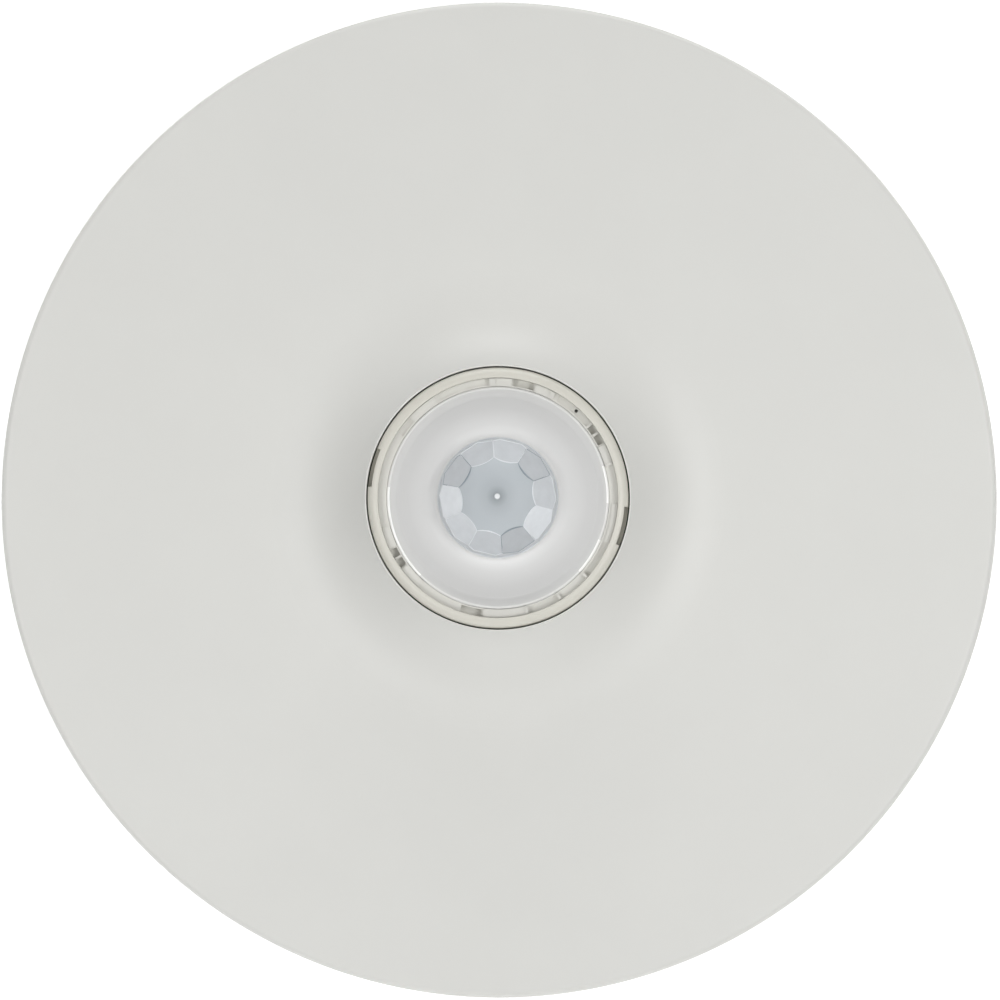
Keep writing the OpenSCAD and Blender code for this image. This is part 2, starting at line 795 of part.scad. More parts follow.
module test_button_frame() {
    color("silver") difference() {
        bar(button_at[0], button_at[1], [button_w, button_w],
            button_body_top, button_body_top + button_frame_t);
        rod(button_at[0], button_at[1], button_hole_r,
            button_body_top - overcut, button_body_top + overcut);
    }
}

module test_button() {
    color("black") rod(button_at[0], button_at[1], button_r, button_z, button_top);
}

module button_legs(grow) {
    for (p = button_leads)
        bar(button_at[0] + p[0], button_at[1] + p[1], button_lead + [grow, grow],
            lead_bottom_z, button_lead_top);
}

module test_button_pins() {
    color("silver") button_legs(0);
}

module microcontroller() {
    micro_top = micro_bottom_z + micro_t;
    color("dimgray") difference() {
        bar(micro_at[0], micro_at[1], [micro_w, micro_w], micro_bottom_z, micro_top);
        rod(micro_at[0] - micro_w / 2 + micro_dot_inset, micro_at[1] + micro_w / 2 - micro_dot_inset,
            micro_dot_r, micro_top - micro_dot_depth, micro_top + overcut);
    }
}

module microcontroller_legs() {
    color("silver") for (side = [0:3]) for (i = [0:micro_leg_count - 1])
        translate([micro_at[0], micro_at[1], 0]) rotate([0, 0, 90 * side]) {
            along = (i - (micro_leg_count - 1) / 2) * micro_leg_pitch;
            bar(micro_w / 2 + micro_leg_reach / 2, along, [micro_leg_reach, micro_leg_w],
                board_top, board_top + micro_foot_t);
            bar(micro_w / 2 + micro_knee / 2, along, [micro_knee, micro_leg_w], board_top, micro_knee_top);
        }
}

module voltage_regulator() {
    bottom_z = board_top + regulator_tab_size[2];
    color("dimgray")
        bar(regulator_at[0], regulator_at[1] + regulator_shift, regulator_size,
            bottom_z, bottom_z + regulator_size[2]);
}

module regulator_tab() {
    top_z = board_top + regulator_tab_size[2];
    color("silver") {
        bar(regulator_at[0], regulator_at[1] + regulator_tab_shift, regulator_tab_size, board_top, top_z);
        for (side = [-1, 1])
            bar(regulator_at[0] + side * regulator_leg_at[0], regulator_at[1] + regulator_leg_at[1],
                regulator_leg, board_top, top_z);
    }
}

module output_transistor() {
    color("dimgray")
        bar(transistor_at[0], transistor_at[1], transistor_size, board_top, board_top + transistor_size[2]);
}

module capacitor_bases() {
    color("black") for (c = cans) {
        half = c[2] + can_base_margin;
        difference() {
            bar(c[0], c[1], [2 * half, 2 * half], board_top, board_top + can_base_t);
            for (side = [-1, 1])
                translate([c[0] + side * half, c[1] - half, 0])
                    rotate([0, 0, 45])
                        bar(0, 0, [can_base_corner, can_base_corner], 0, board_top + 2 * can_base_t);
        }
    }
}

module capacitor_cans() {
    color("silver") for (c = cans) rod(c[0], c[1], c[2], board_top + can_base_t, board_top + c[3]);
}

module chip_resistors() {
    color("black") for (p = resistor_places)
        bar(p[0], p[1], resistor_size, board_top, board_top + resistor_size[2]);
}

module chip_capacitors() {
    color("tan") for (p = capacitor_places)
        bar(p[0], p[1], capacitor_size, board_top, board_top + capacitor_size[2]);
}

module diodes() {
    color("black") for (p = diode_places)
        bar(p[0], p[1], diode_size, board_top, board_top + diode_size[2]);
}

function header_x(i) = (i - 2.5) * pin_pitch;

module header_leads(grow) {
    for (i = [1:4])
        bar(header_x(i), header_y, [header_pin_w + grow, header_pin_w + grow],
            lead_bottom_z, header_pin_top + grow);
}

module board_header() {
    color("black") difference() {
        bar(0, header_y, header_size, board_top, header_top);
        header_leads(0);
    }
}

module header_pins() {
    color("gold") header_leads(0);
}

module head_socket() {
    color("black") difference() {
        bar(0, header_y, header_size, header_top, ledge_z);
        header_leads(2 * lead_gap);
    }
}

module tail_leads(grow) {
    for (i = [1:4])
        bar(header_x(i), header_y, [socket_tail_w + grow, socket_tail_w + grow], ledge_z, socket_tail_top);
}

module socket_tails() {
    color("silver") tail_leads(0);
}

module sensor_board() {
    color("seagreen") difference() {
        rod(0, 0, sensor_board_r, ledge_z, sensor_board_top);
        tail_leads(lead_gap);
        detector_leads(pyro_lead_r + lead_gap);
    }
}

module amplifier_chip() {
    color("dimgray")
        bar(amplifier_at[0], amplifier_at[1], amplifier_size, ledge_z - amplifier_size[2], ledge_z);
}

module detector_leads(r) {
    for (a = pyro_lead_angles) rotate([0, 0, a])
        rod(pyro_lead_circle, 0, r, ledge_z - pyro_lead_tail, spacer_top);
}

module pyro_spacer() {
    color("ivory") difference() {
        rod(0, 0, pyro_flange_r, sensor_board_top, spacer_top);
        detector_leads(pyro_lead_r + lead_gap);
    }
}

module pyro_base() {
    color("silver") {
        rod(0, 0, pyro_flange_r, spacer_top, pyro_base_top);
        rod(0, 0, pyro_boss_r, spacer_top, pyro_boss_top);
    }
}

module pyro_can() {
    color("silver") difference() {
        union() {
            rod(0, 0, pyro_flange_r, pyro_base_top, pyro_base_top + pyro_rim_t);
            rod(0, 0, pyro_can_r, pyro_base_top, pyro_can_top);
        }
        rod(0, 0, pyro_can_r - pyro_can_t, pyro_base_top - overcut, pyro_can_top - pyro_can_t);
        bar(0, 0, pyro_aperture, pyro_can_top - overcut, pyro_can_top + overcut);
    }
}

module pyro_window() {
    color("darkslategray")
        bar(0, 0, pyro_pane, pyro_can_top - pyro_can_t - pyro_pane_t, pyro_can_top - pyro_can_t);
}

module pyro_element() {
    mount_top = pyro_boss_top + pyro_mount[2];
    color("wheat") {
        bar(0, 0, pyro_mount, pyro_boss_top, mount_top);
        bar(0, 0, pyro_crystal, mount_top, mount_top + pyro_crystal[2]);
    }
}

module pyro_leads() {
    color("gold") detector_leads(pyro_lead_r);
}

module status_led() {
    led_body_top = sensor_board_top + led_body_h;
    color("tomato") {
        rod(led_at[0], led_at[1], led_r + led_flange_w, sensor_board_top, sensor_board_top + led_flange_t);
        rod(led_at[0], led_at[1], led_r, sensor_board_top, led_body_top);
        translate([led_at[0], led_at[1], led_body_top - led_dome_drop]) sphere(r = led_dome_r);
    }
}

module photocell() {
    color("orangered")
        rod(photocell_at[0], photocell_at[1], photocell_r,
            sensor_board_top, sensor_board_top + photocell_h);
}

mounting_plate();
front_cover();
bezel_ring();
lens_carrier();
lens();
sensor_barrel();
head_screws();
main_board();
board_screws();
terminal_block();
terminal_contacts();
for (i = [1:4]) {
    terminal_screw(i);
    terminal_clamp(i);
    dip_lever(i);
}
dip_switch();
dip_switch_pins();
trimmer(time_at);  // time_trimmer
dial(time_at);  // time_dial
trimmer(light_at);  // light_trimmer
dial(light_at);  // light_dial
trimmer_pins();
test_button_base();
test_button_frame();
test_button();
test_button_pins();
microcontroller();
microcontroller_legs();
voltage_regulator();
regulator_tab();
output_transistor();
capacitor_cans();
capacitor_bases();
chip_resistors();
chip_capacitors();
diodes();
board_header();
header_pins();
head_socket();
socket_tails();
sensor_board();
amplifier_chip();
pyro_spacer();
pyro_base();
pyro_can();
pyro_window();
pyro_element();
pyro_leads();
status_led();
photocell();
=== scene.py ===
import json
import math

import bmesh
import bpy
from mathutils import Matrix, Vector


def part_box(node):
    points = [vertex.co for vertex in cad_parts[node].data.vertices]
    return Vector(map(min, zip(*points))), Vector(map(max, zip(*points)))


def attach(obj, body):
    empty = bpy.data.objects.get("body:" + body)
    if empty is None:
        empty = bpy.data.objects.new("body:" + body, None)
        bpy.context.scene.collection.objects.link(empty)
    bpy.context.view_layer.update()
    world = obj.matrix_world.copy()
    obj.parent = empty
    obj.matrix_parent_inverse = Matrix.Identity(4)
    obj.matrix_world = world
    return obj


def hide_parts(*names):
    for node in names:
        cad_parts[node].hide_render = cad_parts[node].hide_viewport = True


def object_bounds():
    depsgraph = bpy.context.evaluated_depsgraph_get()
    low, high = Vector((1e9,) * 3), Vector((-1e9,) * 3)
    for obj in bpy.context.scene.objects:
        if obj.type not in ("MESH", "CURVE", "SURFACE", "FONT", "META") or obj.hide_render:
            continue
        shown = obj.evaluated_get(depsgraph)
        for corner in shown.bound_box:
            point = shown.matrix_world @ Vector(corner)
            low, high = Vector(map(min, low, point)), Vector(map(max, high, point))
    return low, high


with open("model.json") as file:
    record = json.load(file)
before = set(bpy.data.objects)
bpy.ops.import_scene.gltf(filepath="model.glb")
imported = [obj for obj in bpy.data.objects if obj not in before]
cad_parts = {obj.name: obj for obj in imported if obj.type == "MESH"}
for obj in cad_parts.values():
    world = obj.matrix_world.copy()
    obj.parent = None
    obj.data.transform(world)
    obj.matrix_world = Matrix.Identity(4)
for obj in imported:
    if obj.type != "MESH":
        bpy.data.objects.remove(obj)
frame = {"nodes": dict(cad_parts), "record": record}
cad_low, cad_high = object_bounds()

# Sizes are in metres. Places come from the frame, and what the frame doesn't hold is named here.
MM = 0.001
cover_low, cover_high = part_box("front_cover")
bezel_low, bezel_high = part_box("bezel_ring")
lens_low, lens_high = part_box("lens")
plate_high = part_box("mounting_plate")[1]

# The cover: a draughted wall, a slightly crowned face and a trumpet-shaped nose round its mouth.
COVER_R = cover_high.x
COVER_BORE_R = COVER_R - 2 * MM
COVER_WALL = 2 * MM
PLATE_R = COVER_R - 2.4 * MM
WALL_DRAFT = 0.25 * MM
EDGE_ROUND = 0.8 * MM
CROWN_RADIUS = 780 * MM
EDGE_Z = 16.2 * MM
NOSE_FOOT_R = 26.4 * MM
NOSE_FOOT_SLOPE = math.radians(5)
NOSE_MOUTH_SLOPE = math.radians(56)
NOSE_FOOT_RUN = 1.2 * MM
LIP_ROUND = 0.1 * MM
BACK_BREAK = 0.15 * MM
RIB_COUNT = 6
RIB_HALF = 0.6 * MM
RIB_LENGTH = 6 * MM
RIB_CLEARANCE = 1 * MM
RIB_ROOT = 0.6 * MM
PRY_SLOT_HALF = 4 * MM
PRY_SLOT_HEIGHT = 1.2 * MM
# How far a cutting or joining tool reaches past the face it works on.
OVERCUT = 1 * MM

# The bezel ring, with two tool notches in its outer edge and three bayonet lugs inside.
BEZEL_R = bezel_high.x
HOLE_R = BEZEL_R + 0.14 * MM
BEZEL_BORE_R = 13.83 * MM
BEZEL_SKIRT_BORE = 14.5 * MM
BEZEL_STEP_Z = 22.75 * MM
BEZEL_INNER_BREAK = 0.07 * MM
BEZEL_OUTER_BREAK = 0.1 * MM
LUG_CENTRES = (30, 150, 270)
LUG_HALF = 6
LUG_R = 13.95 * MM
LUG_LOW_Z = 19.3 * MM
LUG_HIGH_Z = 20.3 * MM
LUG_ROOT = 0.2 * MM
NOTCH_CENTRES = (math.radians(166.4), math.radians(347.2))
NOTCH_HALF = math.radians(8.7)
NOTCH_DEPTH = 0.45 * MM
NOTCH_FLOOR_Z = 23.1 * MM

# The lens: a frosted dish with a faceted dome on it.
LENS_R = lens_high.x
LENS_EDGE_R = LENS_R + 0.07 * MM
LENS_EDGE_ROUND = 0.25 * MM
LENS_BORE_R = 3.1 * MM
LENS_BACK_Z = 23.3 * MM
LENS_SEAT_R = 12 * MM
DISH_LOW_R = 11.6 * MM
DISH_LOW_Z = 24.1 * MM
DISH_HIGH_Z = 24.6 * MM
DOME_FILLET = 0.5 * MM
DOME_FILLET_R = 7.42 * MM
DOME_R = 6.95 * MM
DOME_INNER_R = 6.2 * MM
DOME_Z = 24.7 * MM
DOME_SKIRT = 0.3 * MM
GATE_R = 0.35 * MM
GATE_BREAK = 0.08 * MM
GATE_CORE_R = 0.02 * MM
GATE_LOW_Z = 31 * MM
GATE_SHOULDER_Z = 31.75 * MM
GATE_HIGH_Z = 31.82 * MM
# Radius of the fine raised lines round the facets, which are painted highlights and painted shade: plain,
# where a highlight is painted wide and where shade is painted.
BEAD_R = 0.05 * MM
LIT_BEAD_R = 0.1 * MM
SHADED_BEAD_R = 0.13 * MM
# How far out from a facet's inner edge its line stays wide.
INNER_EDGE_DEPTH = 0.45 * MM
# Facets of the upper and lower rings: how many, azimuth of the first, tilt from the axis, distance from
# the dome's centre.
UPPER_FACETS = (10, 5, 56, DOME_R * math.cos(math.radians(20)))
LOWER_FACETS = (16, 9.25, 82, 6.75 * MM)
# Painted light and shade of each upper facet, by its azimuth: each facet's grey stands in for the light it
# reflects.
FACET_PAINTED_LIGHT = ((5, 214), (41, 197), (77, 208), (113, 203), (149, 201),
               (185, 240), (221, 218), (257, 201), (293, 188), (329, 230))
# Upper facets whose inner edge gets a wide line of painted highlight, and those whose lines are painted
# shade, wide at the inner edge.
LIT_FACETS = (5, 77, 185, 257, 329)
SHADED_FACETS = (41, 149, 293)
# The arcs of the lens's rim that get a painted highlight: from azimuth, to azimuth, in degrees.
PAINTED_RIM_HIGHLIGHT = ((175, 225), (318, 338), (357, 377))
PAINTED_RIM_HIGHLIGHT_R = 12.5 * MM
# The lens's colour by distance from the axis in mm: gate mark, cap, facets, dish, rim. The dark ring round
# the gate mark and the cap's darkening towards it are painted shade; the light band at the dome's foot and
# the light rim are painted highlights.
LENS_COLOUR_AND_PAINTED_LIGHT = (
    (0.0, (240, 242, 244)), (0.3, (240, 242, 244)), (0.42, (158, 164, 168)), (0.7, (166, 172, 176)),
    (1.3, (181, 187, 191)), (2.6, (189, 195, 199)), (4.4, (193, 199, 203)), (5.6, (206, 211, 215)),
    (6.9, (210, 214, 218)), (7.1, (230, 230, 229)), (7.6, (232, 232, 231)), (8.6, (219, 219, 218)),
    (10.4, (207, 207, 206)), (11.4, (206, 206, 205)), (12.5, (208, 208, 206)), (12.6, (228, 228, 226)),
    (12.75, (228, 228, 226)),
)


# ---- meshes ----

def arc(centre, radius, start, end, steps):
    """Points of an arc in the section plane, angles in radians."""
    points = []
    for i in range(steps + 1):
        a = start + (end - start) * i / steps
        points.append((centre[0] + radius * math.cos(a), centre[1] + radius * math.sin(a)))
    return points


def new_object(name, mesh_data):
    piece = bpy.data.objects.new(name, mesh_data)
    bpy.context.scene.collection.objects.link(piece)
    return piece


def from_bmesh(name, bm, smooth_angle=30):
    """An object from a bmesh, smooth but for edges sharper than smooth_angle."""
    bmesh.ops.recalc_face_normals(bm, faces=bm.faces)
    mesh_data = bpy.data.meshes.new(name)
    bm.to_mesh(mesh_data)
    bm.free()
    for polygon in mesh_data.polygons:
        polygon.use_smooth = True
    mesh_data.set_sharp_from_angle(angle=math.radians(smooth_angle))
    return new_object(name, mesh_data)


def add_circle(bm, radius, z, segments, x=0.0, y=0.0):
    """Adds a level circle of vertices."""
    turns = [2 * math.pi * i / segments for i in range(segments)]
    return [bm.verts.new((x + radius * math.cos(a), y + radius * math.sin(a), z)) for a in turns]


def bridge(bm, lower, upper):
    """Adds the band of faces between two closed rows of vertices."""
    for i in range(len(lower)):
        j = (i + 1) % len(lower)
        bm.faces.new((lower[i], lower[j], upper[j], upper[i]))


def add_prism(bm, lower, upper):
    """Adds the faces of a prism between two closed rows of vertices."""
    bridge(bm, lower, upper)
    bm.faces.new(upper)
    bm.faces.new(reversed(lower))


def add_lathe(bm, profile, segments):
    """Adds a closed section turned about Z."""
    rings = [add_circle(bm, radius, z, segments) for radius, z in profile]
    for k, lower in enumerate(rings):
        bridge(bm, lower, rings[(k + 1) % len(rings)])


def lathe(name, profile, segments=256, smooth_angle=30):
    bm = bmesh.new()
    add_lathe(bm, profile, segments)
    return from_bmesh(name, bm, smooth_angle)


def add_ring_block(bm, inner_r, outer_r, from_z, to_z, from_angle, to_angle, steps=24):
    """Adds a closed part of a ring, angles in radians."""
    rows = []
    for i in range(steps + 1):
        a = from_angle + (to_angle - from_angle) * i / steps
        row = []
        for radius, z in ((inner_r, from_z), (outer_r, from_z), (outer_r, to_z), (inner_r, to_z)):
            row.append(bm.verts.new((radius * math.cos(a), radius * math.sin(a), z)))
        rows.append(row)
    for first, second in zip(rows, rows[1:]):
        for k in range(4):
            n = (k + 1) % 4
            bm.faces.new((first[k], first[n], second[n], second[k]))
    bm.faces.new(rows[0])
    bm.faces.new(reversed(rows[-1]))


def add_block(bm, low, high, turn=0):
    """Adds a straight block, turned about Z."""
    corners = []
    for z in (low[2], high[2]):
        for x, y in ((low[0], low[1]), (high[0], low[1]), (high[0], high[1]), (low[0], high[1])):
            corners.append(bm.verts.new((
                x * math.cos(turn) - y * math.sin(turn), x * math.sin(turn) + y * math.cos(turn), z)))
    for face in ((0, 1, 2, 3), (7, 6, 5, 4), (0, 4, 5, 1), (1, 5, 6, 2), (2, 6, 7, 3), (3, 7, 4, 0)):
        bm.faces.new([corners[i] for i in face])


def apply_modifiers(piece):
    bpy.ops.object.select_all(action="DESELECT")
    bpy.context.view_layer.objects.active = piece
    piece.select_set(True)
    for modifier in list(piece.modifiers):
        bpy.ops.object.modifier_apply(modifier=modifier.name)


def combine(piece, tool_bm, operation):
    """Cuts the tool out of the piece, or joins it on, and drops the tool."""
    tool = from_bmesh("tool", tool_bm)
    modifier = piece.modifiers.new("combine", "BOOLEAN")
    modifier.operation = operation
    modifier.solver = "EXACT"
    modifier.object = tool
    apply_modifiers(piece)
    bpy.data.objects.remove(tool)


def soften(piece, width, segments=2, angle=32):
    """Rounds the sharp edges and keeps flat faces flat."""
    weld = piece.modifiers.new("weld", "WELD")
    weld.merge_threshold = 0.002 * MM
    bevel = piece.modifiers.new("bevel", "BEVEL")
    bevel.width = width
    bevel.segments = segments
    bevel.limit_method = "ANGLE"
    bevel.angle_limit = math.radians(angle)
    bevel.harden_normals = True


# ---- materials ----

def srgb(red, green, blue):
    """A linear colour from 0-255 display values."""
    def channel(value):
        value /= 255
        return value / 12.92 if value <= 0.04045 else ((value + 0.055) / 1.055) ** 2.4
    return (channel(red), channel(green), channel(blue), 1)


def shade(colour, factor):
    return tuple(min(c * factor, 1) for c in colour[:3]) + (1,)


class Surface:
    """A principled material whose colour, roughness and grain come from noise."""

    def __init__(self, name):
        self.material = bpy.data.materials.new(name)
        self.material.use_nodes = True
        self.nodes = self.material.node_tree.nodes
        self.links = self.material.node_tree.links
        self.shader = self.nodes["Principled BSDF"]
        self.coordinates = self.nodes.new("ShaderNodeTexCoord").outputs["Object"]

    def value(self, socket, amount):
        self.shader.inputs[socket].default_value = amount
        return self

    def noise(self, scale, detail=3, stretch=None):
        source = self.coordinates
        if stretch:
            mapping = self.nodes.new("ShaderNodeMapping")
            mapping.inputs["Scale"].default_value = stretch
            self.links.new(source, mapping.inputs["Vector"])
            source = mapping.outputs["Vector"]
        texture = self.nodes.new("ShaderNodeTexNoise")
        texture.inputs["Scale"].default_value = scale
        texture.inputs["Detail"].default_value = detail
        self.links.new(source, texture.inputs["Vector"])
        return texture.outputs["Fac"]

    def ramp(self, source, stops):
        ramp = self.nodes.new("ShaderNodeValToRGB")
        ramp.color_ramp.elements[0].position = stops[0][0]
        ramp.color_ramp.elements[0].color = stops[0][1]
        ramp.color_ramp.elements[1].position = stops[-1][0]
        ramp.color_ramp.elements[1].color = stops[-1][1]
        for position, colour in stops[1:-1]:
            ramp.color_ramp.elements.new(position).color = colour
        self.links.new(source, ramp.inputs["Fac"])
        return ramp.outputs["Color"]

    def colour(self, source, stops):
        self.links.new(self.ramp(source, stops), self.shader.inputs["Base Color"])
        return self

    def roughness(self, source, low, high):
        spread = self.nodes.new("ShaderNodeMapRange")
        spread.inputs["From Min"].default_value = 0.3
        spread.inputs["From Max"].default_value = 0.7
        spread.inputs["To Min"].default_value = low
        spread.inputs["To Max"].default_value = high
        self.links.new(source, spread.inputs["Value"])
        self.links.new(spread.outputs["Result"], self.shader.inputs["Roughness"])
        return self

    def bump(self, source, height, strength=1.0):
        bump = self.nodes.new("ShaderNodeBump")
        bump.inputs["Strength"].default_value = strength
        bump.inputs["Distance"].default_value = height
        self.links.new(source, bump.inputs["Height"])
        if self.shader.inputs["Normal"].is_linked:
            self.links.new(self.shader.inputs["Normal"].links[0].from_socket, bump.inputs["Normal"])
        self.links.new(bump.outputs["Normal"], self.shader.inputs["Normal"])
        return self


def moulded(name, colour, roughness, grain=0.004 * MM, mottle=0.015):
    """Moulded plastic: faint cloudy colour, fine grain and a slightly uneven gloss."""
    surface = Surface(name)
    cloud = surface.noise(90, 4)
    fine = surface.noise(5200, 2)
    surface.colour(cloud, [(0.3, shade(colour, 1 - mottle)), (0.7, shade(colour, 1 + mottle))])
    surface.roughness(surface.noise(700, 3), roughness - 0.03, roughness + 0.04)
    surface.bump(fine, grain)
    return surface


def metal(name, colour, roughness, stretch=(1, 1, 1), grain=0.0008 * MM):
    """Plated or drawn metal: streaked gloss and faint tarnish."""
    surface = Surface(name)
    surface.value("Metallic", 1.0)
    streak = surface.noise(1500, 4, stretch)
    surface.colour(surface.noise(350, 3), [(0.3, shade(colour, 0.93)), (0.7, shade(colour, 1.03))])
    surface.roughness(streak, roughness - 0.03, roughness + 0.06)
    surface.bump(streak, grain)
    return surface


def finish_node(node, surface, edge=0.0):
    """Gives a CAD node a material and, where edge is set, softened edges."""
    piece = frame["nodes"][node]
    piece.data.materials.clear()
    piece.data.materials.append(surface.material)
    if edge:
        soften(piece, edge)


def finish_piece(piece, surface, body, slot, *replaced):
    piece.data.materials.clear()
    piece.data.materials.append(surface.material)
    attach(piece, body)
    if replaced:
        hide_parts(*replaced)
    return piece


# ---- camera, floor and light ----

CAMERA_DISTANCE = 1.3
CAMERA_TILT = math.radians(1.5)
CAMERA_SIDE = Vector((0.45, -0.89, 0)).normalized()
CAMERA_AIM = Vector((0.13 * MM, -0.05 * MM, EDGE_Z - EDGE_ROUND))
SENSOR = 36.0
# How much of the picture's width the disc takes up.
DISC_SHARE = 0.9998
FLOOR_REACH = 4.0


def make_camera():
    half_width = COVER_R / DISC_SHARE
    data = bpy.data.cameras.new("camera")
    data.sensor_width = SENSOR
    data.lens = SENSOR / 2 * CAMERA_DISTANCE / half_width
    camera = new_object("camera", data)
    back = CAMERA_SIDE * math.sin(CAMERA_TILT) + Vector((0, 0, math.cos(CAMERA_TILT)))
    camera.location = CAMERA_AIM + back * CAMERA_DISTANCE
    camera.rotation_mode = "QUATERNION"
    right = Vector((0, 1, 0)).cross(back).normalized()
    camera.rotation_quaternion = Matrix((right, back.cross(right), back)).transposed().to_quaternion()
    data.clip_start = 0.01
    data.clip_end = 50
    bpy.context.scene.camera = camera


def make_panel(name, azimuth, elevation, distance, size, strength):
    """A soft panel aimed at the object; strength is the white it gives a surface that faces it."""
    a, e = math.radians(azimuth), math.radians(elevation)
    back = Vector((math.cos(a) * math.cos(e), math.sin(a) * math.cos(e), math.sin(e)))
    data = bpy.data.lights.new(name, "AREA")
    data.shape = "RECTANGLE"
    data.size, data.size_y = size
    data.energy = strength * math.pi ** 2 * distance ** 2
    panel = new_object(name, data)
    panel.location = Vector((0, 0, EDGE_Z)) + back * distance
    panel.rotation_mode = "QUATERNION"
    panel.rotation_quaternion = back.to_track_quat("Z", "Y")
    panel.visible_camera = False


def make_studio():
    world = bpy.data.worlds.new("studio")
    world.use_nodes = True
    world.node_tree.nodes["Background"].inputs["Color"].default_value = (1, 1, 1, 1)
    world.node_tree.nodes["Background"].inputs["Strength"].default_value = 0.15
    bpy.context.scene.world = world
    bpy.context.scene.view_settings.view_transform = "Standard"
    wide = (0.5, 0.25)
    make_panel("panel_right", 0, 55, 0.8, wide, 0.36)
    make_panel("panel_left", 180, 55, 0.8, wide, 0.24)
    make_panel("panel_low_left", 225, 55, 0.8, wide, 0.18)
    make_panel("panel_low_right", 315, 55, 0.8, wide, 0.125)
    make_panel("panel_overhead", 0, 90, 0.9, (0.5, 0.5), 0.075)
    make_panel("panel_top_edge", 90, 10, 0.8, wide, 0.30)
    make_panel("panel_bottom_edge", 270, 10, 0.8, wide, 0.105)
    make_panel("panel_back", 250, -60, 0.8, wide, 0.5)

    # The floor is open under the object, so that its back can be seen from below.
    bm = bmesh.new()
    inner, outer = [add_circle(bm, radius, cad_low.z, 128) for radius in (PLATE_R, FLOOR_REACH)]
    bridge(bm, outer, inner)
    floor = from_bmesh("floor", bm)
    paper = Surface("floor_paper")
    paper.colour(paper.noise(40, 3), [(0.3, (0.93, 0.93, 0.93, 1)), (0.7, (0.95, 0.95, 0.95, 1))])
    paper.value("Roughness", 0.9)
    paper.value("Emission Color", (1, 1, 1, 1))
    paper.value("Emission Strength", 0.4)
    floor.data.materials.append(paper.material)


# ---- the cover ----

def cover_profile():
    """The cover's closed section, outside then inside."""
    edge_centre_r = COVER_R - WALL_DRAFT - EDGE_ROUND
    crown_centre_z = EDGE_Z - math.sqrt(CROWN_RADIUS ** 2 - edge_centre_r ** 2)
    edge_slope = math.asin(edge_centre_r / CROWN_RADIUS)

    def crown(radius, depth=0.0):
        return crown_centre_z + math.sqrt((CROWN_RADIUS - depth) ** 2 - radius ** 2)

    def crown_line(start, end, depth, steps):
        radii = [start + (end - start) * i / steps for i in range(steps + 1)]
        return [(radius, crown(radius, depth)) for radius in radii]

    rise = math.sin(NOSE_MOUTH_SLOPE) - math.sin(NOSE_FOOT_SLOPE)
    mouth_r = HOLE_R + LIP_ROUND * (1 + math.sin(NOSE_MOUTH_SLOPE))
    nose_radius = (NOSE_FOOT_R - mouth_r) / rise
    nose_centre = (NOSE_FOOT_R + nose_radius * math.sin(NOSE_FOOT_SLOPE),
                   crown(NOSE_FOOT_R) + nose_radius * math.cos(NOSE_FOOT_SLOPE))
    mouth_z = nose_centre[1] - nose_radius * math.cos(NOSE_MOUTH_SLOPE)
    lip_centre = (HOLE_R + LIP_ROUND, mouth_z - LIP_ROUND * math.cos(NOSE_MOUTH_SLOPE))
    edge_r = edge_centre_r + EDGE_ROUND * math.sin(edge_slope)
    edge_centre = (edge_centre_r, crown(edge_r) - EDGE_ROUND * math.cos(edge_slope))
    inner_radius = nose_radius + COVER_WALL
    inner_end = math.asin((nose_centre[0] - HOLE_R) / inner_radius)
    quarter = math.pi / 2
    back = cover_low.z
    wall_z = back + 2 * BACK_BREAK
    outside = [(COVER_BORE_R + BACK_BREAK, back), (COVER_R - 2 * BACK_BREAK, back), (COVER_R, wall_z)]
    for i in range(1, 12):
        share = i / 12
        outside.append((COVER_R - WALL_DRAFT * share, wall_z + (edge_centre[1] - wall_z) * share))
    outside += arc(edge_centre, EDGE_ROUND, 0, quarter - edge_slope, 14)
    outside += crown_line(edge_r, NOSE_FOOT_R + NOSE_FOOT_RUN, 0, 36)[1:]
    outside += arc(nose_centre, nose_radius, 3 * quarter - NOSE_FOOT_SLOPE,
                   3 * quarter - NOSE_MOUTH_SLOPE, 40)
    outside += arc(lip_centre, LIP_ROUND, quarter - NOSE_MOUTH_SLOPE, 2 * quarter, 10)[1:]
    inside = arc(nose_centre, inner_radius, 3 * quarter - inner_end, 3 * quarter - NOSE_FOOT_SLOPE, 16)
    inside += crown_line(NOSE_FOOT_R + NOSE_FOOT_RUN, COVER_BORE_R, COVER_WALL, 10)
    inside.append((COVER_BORE_R, back + BACK_BREAK))
    return outside + inside


def make_cover():
    cover = lathe("cover_shell", cover_profile(), 360)
    ribs = bmesh.new()
    rib_high_z = EDGE_Z - COVER_WALL + RIB_ROOT
    for i in range(RIB_COUNT):
        add_block(ribs, (COVER_BORE_R - RIB_LENGTH, -RIB_HALF, plate_high.z + RIB_CLEARANCE),
                  (COVER_BORE_R + OVERCUT, RIB_HALF, rib_high_z), (i + 0.5) * 2 * math.pi / RIB_COUNT)
    combine(cover, ribs, "UNION")
    pry_slot = bmesh.new()
    add_block(pry_slot, (COVER_BORE_R - OVERCUT, -PRY_SLOT_HALF, 0),
              (COVER_R + OVERCUT, PRY_SLOT_HALF, cover_low.z + PRY_SLOT_HEIGHT), -math.pi / 2)
    combine(cover, pry_slot, "DIFFERENCE")
    cover.data.set_sharp_from_angle(angle=math.radians(30))
    surface = moulded("cover_plastic", srgb(219, 219, 215), 0.42, grain=0.006 * MM, mottle=0.008)
    surface.value("Specular IOR Level", 0.45)
    finish_piece(cover, surface, "cover", "cover_plastic", "front_cover")


# ---- the bezel ring ----

